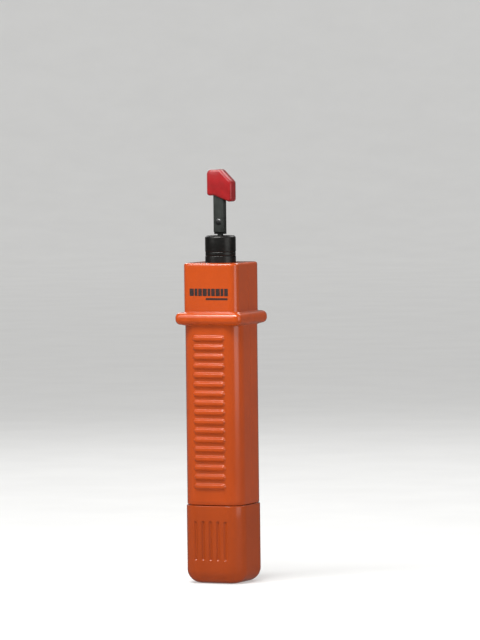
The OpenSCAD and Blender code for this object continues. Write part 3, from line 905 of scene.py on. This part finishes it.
class Finish:
    """A node material built up from noise, with colours given as linear RGB."""

    def __init__(self, name):
        self.material = bpy.data.materials.new(name)
        self.material.use_nodes = True
        self.tree = self.material.node_tree
        self.shader = self.tree.nodes["Principled BSDF"]
        self.place = self.tree.nodes.new("ShaderNodeTexCoord").outputs["Object"]
        self.normal = None

    def set(self, **values):
        for socket, value in values.items():
            self.shader.inputs[socket.replace("_", " ")].default_value = value
        return self

    def noise(self, size, detail=3.0, stretch=(1, 1, 1), roughness=0.55):
        """Noise in blobs of about `size` millimetres, divided by `stretch` on each axis."""
        mapping = self.tree.nodes.new("ShaderNodeMapping")
        mapping.inputs["Scale"].default_value = [k / (size * MM) for k in stretch]
        self.tree.links.new(self.place, mapping.inputs["Vector"])
        node = self.tree.nodes.new("ShaderNodeTexNoise")
        node.inputs["Scale"].default_value = 1.0
        node.inputs["Detail"].default_value = detail
        node.inputs["Roughness"].default_value = roughness
        self.tree.links.new(mapping.outputs["Vector"], node.inputs["Vector"])
        return node.outputs["Fac"]

    def edges(self, radius=0.3):
        """0 on flat areas and 1 along sharp edges."""
        geometry = self.tree.nodes.new("ShaderNodeNewGeometry")
        rounded = self.tree.nodes.new("ShaderNodeBevel")
        rounded.samples = 4
        rounded.inputs["Radius"].default_value = radius * MM
        agree = self.tree.nodes.new("ShaderNodeVectorMath")
        agree.operation = "DOT_PRODUCT"
        self.tree.links.new(geometry.outputs["Normal"], agree.inputs[0])
        self.tree.links.new(rounded.outputs["Normal"], agree.inputs[1])
        return self.remap(agree.outputs["Value"], 0.99, 0.88, 0, 1)

    def reach(self, low, high):
        """0 where the larger of |x| and |y| is below `low` millimetres, 1 above `high`."""
        parts = self.tree.nodes.new("ShaderNodeSeparateXYZ")
        self.tree.links.new(self.place, parts.inputs[0])
        sides = []
        for socket in ("X", "Y"):
            size = self.tree.nodes.new("ShaderNodeMath")
            size.operation = "ABSOLUTE"
            self.tree.links.new(parts.outputs[socket], size.inputs[0])
            sides.append(size.outputs[0])
        largest = self.tree.nodes.new("ShaderNodeMath")
        largest.operation = "MAXIMUM"
        self.tree.links.new(sides[0], largest.inputs[0])
        self.tree.links.new(sides[1], largest.inputs[1])
        return self.remap(largest.outputs[0], low * MM, high * MM, 0, 1)

    def remap(self, value, low, high, to_low, to_high):
        node = self.tree.nodes.new("ShaderNodeMapRange")
        self.tree.links.new(value, node.inputs["Value"])
        for socket, number in (
            ("From Min", low), ("From Max", high), ("To Min", to_low), ("To Max", to_high),
        ):
            node.inputs[socket].default_value = number
        return node.outputs["Result"]

    def multiply(self, a, b):
        node = self.tree.nodes.new("ShaderNodeMath")
        node.operation = "MULTIPLY"
        for socket, value in zip(node.inputs, (a, b)):
            if isinstance(value, (int, float)):
                socket.default_value = value
            else:
                self.tree.links.new(value, socket)
        return node.outputs[0]

    def mix(self, share, a, b):
        """Colour a where share is 0 and b where it is 1; each is linear RGB or a socket."""
        node = self.tree.nodes.new("ShaderNodeMix")
        node.data_type = "RGBA"
        self.tree.links.new(share, node.inputs["Factor"])
        for socket, value in ((node.inputs[6], a), (node.inputs[7], b)):
            if isinstance(value, tuple):
                socket.default_value = (*value, 1)
            else:
                self.tree.links.new(value, socket)
        return node.outputs[2]

    def bump(self, height, depth, strength=1.0):
        """Adds relief of about `depth` millimetres."""
        node = self.tree.nodes.new("ShaderNodeBump")
        node.inputs["Strength"].default_value = strength
        node.inputs["Distance"].default_value = depth * MM
        self.tree.links.new(height, node.inputs["Height"])
        if self.normal:
            self.tree.links.new(self.normal, node.inputs["Normal"])
        self.normal = node.outputs["Normal"]
        self.tree.links.new(self.normal, self.shader.inputs["Normal"])
        return self

    def colour(self, socket):
        self.tree.links.new(socket, self.shader.inputs["Base Color"])
        return self

    def rough(self, socket):
        self.tree.links.new(socket, self.shader.inputs["Roughness"])
        return self


def scaled(colour, factor):
    return tuple(min(c * factor, 1.0) for c in colour)


def moulded(name, base, rough, grain=0.003, wear=1.22, crest=None):
    """Injection moulded plastic with a fine spark-eroded grain and faint flow marks.

    crest gives the reach, in millimetres, between which its proud places turn rubbed."""
    f = Finish(name)
    flow = f.remap(f.noise(14, 2, (1, 1, 0.35)), 0.35, 0.65, 0, 1)
    col = f.mix(flow, scaled(base, 0.93), scaled(base, 1.05))
    col = f.mix(f.remap(f.noise(0.9, 3), 0.3, 0.7, 0, 0.6), col, scaled(base, 0.92))
    rub = f.multiply(f.edges(), f.remap(f.noise(1.4, 4), 0.4, 0.62, 0.1, 0.9))
    col = f.mix(rub, col, scaled(base, wear))
    if crest:
        patches = f.noise(2.0, 4, (0.5, 0.5, 1.5))
        proud = f.multiply(f.reach(*crest), f.remap(patches, 0.4, 0.65, 0.05, 0.5))
        col = f.mix(proud, col, scaled(base, wear))
    f.colour(col)
    f.rough(f.remap(f.noise(5, 1), 0.3, 0.7, rough - 0.025, rough + 0.025))
    f.bump(f.noise(0.16, 2), grain, 0.8)
    f.bump(f.noise(5.5, 1), 0.02, 0.3)
    return f


def turned_metal(name, base, rough, wear, axis=2):
    """Lathe-turned metal: fine rings along the turning axis, brighter rubbed edges."""
    f = Finish(name)
    stretch = [0.02, 0.02, 0.02]
    stretch[axis] = 1
    rings = f.noise(0.11, 2, stretch)
    patch = f.remap(f.noise(2.6, 4), 0.35, 0.68, 0, 1)
    col = f.mix(patch, scaled(base, 0.8), scaled(base, 1.2))
    rub = f.multiply(f.edges(), f.remap(f.noise(0.7, 4), 0.38, 0.6, 0.05, 0.85))
    f.colour(f.mix(rub, col, wear))
    f.rough(f.remap(rings, 0.3, 0.7, rough - 0.08, rough + 0.1))
    f.bump(rings, 0.004, 0.7)
    f.set(Metallic=1.0)
    return f


def ground_metal(name, base, rough, wear, stretch=(1, 1, 0.03), size=0.09, metallic=1.0):
    """Flat-ground or drawn steel with fine scratches along one direction."""
    f = Finish(name)
    lines = f.noise(size, 3, stretch)
    patch = f.remap(f.noise(3.0, 5), 0.32, 0.7, 0, 1)
    col = f.mix(patch, scaled(base, 0.75), scaled(base, 1.2))
    rub = f.multiply(f.edges(), f.remap(f.noise(0.6, 4), 0.35, 0.6, 0.1, 0.9))
    f.colour(f.mix(rub, col, wear))
    f.rough(f.remap(lines, 0.3, 0.7, rough - 0.08, rough + 0.12))
    f.bump(lines, 0.003, 0.7)
    f.set(Metallic=metallic)
    return f


ORANGE = (0.405, 0.053, 0.003)
# painted shade: the end cap is the same orange plastic as the shell, coloured darker to stand in
# for the shade that falls on it
CAP_ORANGE_PAINTED_SHADE = (0.33, 0.045, 0.003)
RED = (0.25, 0.0085, 0.010)

orange_shell = moulded("orange_moulded", ORANGE, 0.3, crest=(15.3, 15.6))
orange_shell.set(Specular_IOR_Level=0.2, Coat_Weight=1.0, Coat_Roughness=0.13)
# the cap's finish carries that darker orange, so its shade is painted into its colour
orange_cap_painted_shade = moulded("orange_moulded_cap_painted_shade", CAP_ORANGE_PAINTED_SHADE, 0.34)
orange_cap_painted_shade.set(Specular_IOR_Level=0.2, Coat_Weight=0.6, Coat_Roughness=0.16)

red_soft = Finish("red_soft_vinyl")
cloud = red_soft.remap(red_soft.noise(4, 3), 0.35, 0.7, 0, 1)
red_soft.colour(red_soft.mix(cloud, scaled(RED, 0.85), scaled(RED, 1.1)))
red_soft.rough(red_soft.remap(red_soft.noise(1.6, 3), 0.3, 0.7, 0.15, 0.27))
red_soft.bump(red_soft.noise(3.4, 2), 0.09, 0.5).bump(red_soft.noise(0.35, 2), 0.004, 0.6)
red_soft.set(Subsurface_Weight=0.12, Subsurface_Scale=0.0015, Coat_Weight=0.25, Coat_Roughness=0.12)

black_turned = turned_metal("black_oxide_turned", (0.05, 0.05, 0.048), 0.38, (0.2, 0.2, 0.2))
black_flat = ground_metal(
    "black_oxide_flat", (0.03, 0.03, 0.032), 0.4, (0.2, 0.2, 0.2), (1, 1, 1), 0.3
)
blade_steel = ground_metal(
    "blade_steel_ground", (0.03, 0.033, 0.031), 0.42, (0.14, 0.15, 0.14), metallic=0.4
)
cutter_steel = ground_metal(
    "cutter_steel_ground", (0.035, 0.039, 0.036), 0.4, (0.17, 0.18, 0.17), (0.03, 1, 1),
    metallic=0.4,
)
blade_steel.set(Specular_IOR_Level=0.2)
cutter_steel.set(Specular_IOR_Level=0.2)
bright_turned = turned_metal("bright_steel_turned", (0.52, 0.53, 0.54), 0.27, (0.78, 0.78, 0.78))
bright_flat = ground_metal(
    "zinc_steel_flat", (0.5, 0.51, 0.53), 0.3, (0.75, 0.75, 0.76), (0.4, 1, 0.4), 0.25
)
screw_steel = turned_metal("zinc_screw", (0.46, 0.47, 0.49), 0.3, (0.75, 0.75, 0.75), 1)
wire = ground_metal("spring_wire", (0.34, 0.34, 0.35), 0.28, (0.55, 0.55, 0.55), (1, 1, 0.4), 0.2)
hammer_steel = turned_metal("hammer_steel_turned", (0.24, 0.24, 0.25), 0.33, (0.6, 0.6, 0.6))
brass = ground_metal("brass_plate", (0.62, 0.43, 0.17), 0.3, (0.85, 0.66, 0.34), (0.05, 1, 1), 0.15)
rivet_steel = ground_metal(
    "rivet_peened", (0.06, 0.06, 0.06), 0.45, (0.25, 0.25, 0.25), (1, 1, 1), 0.4
)
bushing_plastic = moulded("bushing_grey_moulded", (0.045, 0.045, 0.048), 0.42, 0.003, 1.8)
dial_plastic = moulded("dial_charcoal_moulded", (0.065, 0.065, 0.07), 0.42, 0.005, 2.2)
clip_plastic = moulded("clip_natural_moulded", (0.72, 0.7, 0.63), 0.4, 0.003, 1.05)
clip_plastic.set(Subsurface_Weight=0.2, Subsurface_Scale=0.002)

rubber = Finish("buffer_rubber")
dust = rubber.remap(rubber.noise(1.2, 4), 0.4, 0.7, 0, 1)
rubber.colour(rubber.mix(dust, (0.016, 0.016, 0.017), (0.04, 0.04, 0.041)))
rubber.rough(rubber.remap(rubber.noise(0.8, 4), 0.3, 0.7, 0.68, 0.85))
rubber.bump(rubber.noise(0.25, 3), 0.012, 0.8)

ink = Finish("printed_ink")
worn = ink.remap(ink.noise(0.45, 4), 0.52, 0.72, 0, 0.6)
ink.colour(ink.mix(worn, (0.02, 0.012, 0.011), scaled(ORANGE, 0.35)))
ink.rough(ink.remap(ink.noise(0.8, 3), 0.3, 0.7, 0.4, 0.6))
ink.bump(ink.noise(0.2, 2), 0.004, 0.6)

# each new piece: its finish, the record's slot and the CAD node it stands for
NEW_PIECES = [
    (front_shell, orange_shell, "orange_plastic", "front_shell"),
    (back_shell, orange_shell, "orange_plastic", "back_shell"),
    (end_cap, orange_cap_painted_shade, "orange_plastic", "end_cap"),
    (shell_screws, screw_steel, "bright_steel", "shell_screws"),
    (spindle, black_turned, "black_steel", "spindle"),
    (lock_ring, black_turned, "black_steel", "lock_ring"),
    (blade, blade_steel, "blade_steel", "blade"),
    (spare_blade, blade_steel, "blade_steel", "spare_blade"),
    (blade_cutter, cutter_steel, "blade_steel", "blade_cutter"),
    (blade_rivet, rivet_steel, "bright_steel", "blade_rivet"),
    (tip_cap, red_soft, "red_vinyl", "tip_cap"),
    (impact_dial, dial_plastic, "dial_plastic", "impact_dial"),
    (impact_spring, wire, "spring_steel", "impact_spring"),
    (return_spring, wire, "spring_steel", "return_spring"),
    (latch_spring, wire, "spring_steel", "latch_spring"),
]
CAD_FINISHES = {
    "nose_bushing": bushing_plastic,
    "buffer_washer": rubber,
    "barrel": bright_turned,
    "spring_seat": black_turned,
    "dial_washer": wire,
    "hammer": hammer_steel,
    "latch_plate": brass,
    "trip_slide": bright_flat,
    "drive_pin": bright_turned,
    "lock_plate": black_flat,
    "lock_ball": bright_turned,
    "blade_clip": clip_plastic,
}


CAD_EDGE_BEVEL = 0.12 * MM
CAD_EDGE_ANGLE = math.radians(50)


def dress(ob, finish):
    ob.data.materials.clear()
    ob.data.materials.append(finish.material)


for body, members in BODIES.items():
    for piece in members:
        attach(piece, body)
for piece in (front_shell, back_shell, impact_dial, shell_screws, spindle):
    weld(piece)
for piece, finish, slot, node in NEW_PIECES:
    dress(piece, finish)
    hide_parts(node)
dress(nose_mark, ink)
for node, finish in CAD_FINISHES.items():
    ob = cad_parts[node]
    dress(ob, finish)
    if node == "lock_ball":  # has no edges to soften, but doubled points at its poles
        ob.modifiers.new("merged_points", "WELD").merge_threshold = WELD
        continue
    edge = ob.modifiers.new("soft_edges", "BEVEL")
    edge.width = CAD_EDGE_BEVEL
    edge.segments = 2
    edge.limit_method = "ANGLE"
    edge.angle_limit = CAD_EDGE_ANGLE

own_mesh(impact_spring)

# ---- camera, floor and lights ----

AZIMUTH, ELEVATION, ROLL = 24.5, 2.8, -0.66
DISTANCE = 2.4
AIM_Z, AIM_RIGHT = 123.6, 8.8
LENS_MM = 286.2
LIGHT_AIM = Vector((0, 0, 0.15))


def direction(azimuth, elevation):
    a, e = math.radians(azimuth), math.radians(elevation)
    return Vector((math.sin(a) * math.cos(e), -math.cos(a) * math.cos(e), math.sin(e)))


lens = bpy.data.cameras.new("camera")
lens.lens = LENS_MM
lens.sensor_width = 36.0
lens.clip_start, lens.clip_end = 0.05, 20
camera = bpy.data.objects.new("camera", lens)
bpy.context.scene.collection.objects.link(camera)
a = math.radians(AZIMUTH)
aim = Vector((math.cos(a) * AIM_RIGHT, math.sin(a) * AIM_RIGHT, AIM_Z)) * MM
back = direction(AZIMUTH, ELEVATION)
turn = (-back).to_track_quat("-Z", "Y").to_matrix() @ Matrix.Rotation(math.radians(ROLL), 3, "Z")
camera.matrix_world = Matrix.Translation(aim + back * DISTANCE) @ turn.to_4x4()
bpy.context.scene.camera = camera


def studio_floor():
    """A round pale floor that curves up into a wall far outside any camera."""
    low = CAD_BOX[0][2] / MM
    flat_r, cove_r, wall_h = 3800, 1500, 4500
    profile = [(0, low), (400, low), (flat_r, low)]
    profile += arc_points((flat_r, low + cove_r), cove_r, -90, 0, 16)[1:]
    profile.append((flat_r + cove_r, low + wall_h))
    rings = [
        [(r * math.cos(t), r * math.sin(t), z) for t in np.linspace(0, 2 * math.pi, 97)[:-1]]
        for r, z in profile
    ]
    return add_object("floor", *loft(rings, cap_end=False))


floor = studio_floor()
paper = Finish("studio_paper")
tone = paper.remap(paper.noise(60, 2), 0.3, 0.7, 0, 1)
paper.colour(paper.mix(tone, (0.5, 0.5, 0.495), (0.53, 0.53, 0.525)))
paper.set(
    Roughness=0.9, Specular_IOR_Level=0.0, Emission_Color=(1, 1, 0.99, 1), Emission_Strength=0.38
)
dress(floor, paper)
# the paper gives soft light from below, but its mirror image would wash the colours out
floor.visible_glossy = False


def softbox(name, azimuth, elevation, distance, size, power):
    """A soft rectangular light aimed at the upper half of the tool."""
    light = bpy.data.lights.new(name, "AREA")
    light.shape = "RECTANGLE"
    light.size, light.size_y = size
    light.energy = power
    ob = bpy.data.objects.new(name, light)
    bpy.context.scene.collection.objects.link(ob)
    towards = direction(azimuth, elevation)
    ob.location = LIGHT_AIM + towards * distance
    ob.rotation_mode = "QUATERNION"
    ob.rotation_quaternion = (-towards).to_track_quat("-Z", "Y")
    return ob


softbox("key", -8, 56, 0.42, (0.32, 0.16), 3.2)
softbox("front", -38, 22, 0.75, (0.4, 0.4), 0.85)
softbox("fill", 78, 12, 1.0, (0.6, 0.7), 2.2)
softbox("rim", -140, 35, 0.9, (0.2, 0.5), 2.0)
softbox("back", 170, 40, 1.0, (0.5, 0.3), 2.5)

world = bpy.data.worlds.new("studio")
world.use_nodes = True
sky = world.node_tree.nodes["Background"]
sky.inputs["Color"].default_value = (1.0, 0.99, 0.97, 1)
sky.inputs["Strength"].default_value = 0.13
bpy.context.scene.world = world
bpy.context.scene.view_settings.view_transform = "Standard"


def corners(box):
    return [[float(c) for c in corner] for corner in box]
